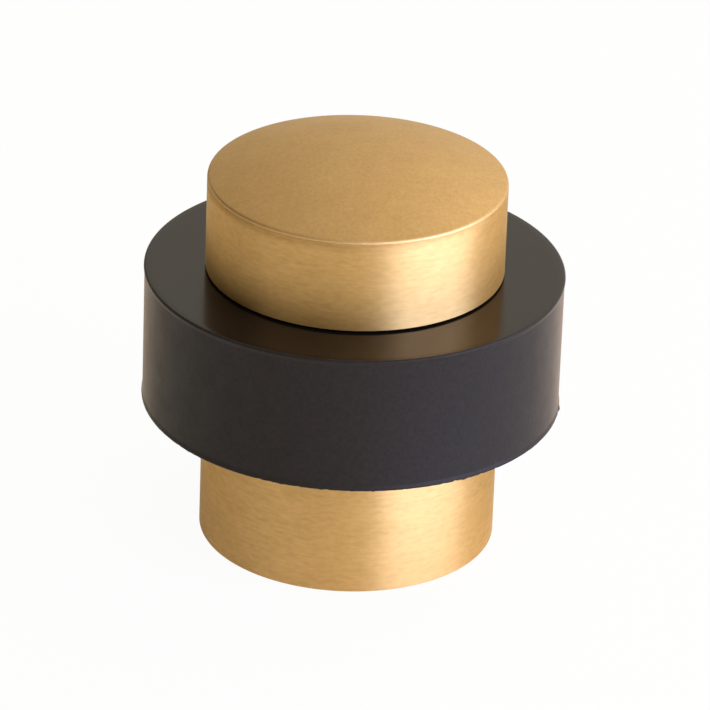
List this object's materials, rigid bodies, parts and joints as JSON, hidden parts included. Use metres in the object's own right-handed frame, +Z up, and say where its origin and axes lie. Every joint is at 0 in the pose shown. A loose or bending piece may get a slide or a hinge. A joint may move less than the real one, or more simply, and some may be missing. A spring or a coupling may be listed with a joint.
{
  "type": "floor door stop",
  "caption": "Cylindrical floor door stop: turned brass base and domed cap with a thick black rubber buffer ring held between them, threaded underneath for a floor fixing.",
  "frame": {"origin": "centre of the base's underside, on the floor", "axes": "+Z up along the axis of the turned pieces; -Y towards the picture's viewpoint"},
  "size_m": [0.051, 0.051, 0.0496],
  "materials": {
    "satin_brass": "satin, brushed round the axis",
    "black_rubber": "dull satin, knife cut",
    "plated_steel": "zinc plated"
  },
  "bodies": {
    "root": {"base": "satin_brass", "buffer_ring": "black_rubber", "domed_cap": "satin_brass", "joining_stud": "plated_steel"}
  },
  "joints": []
}
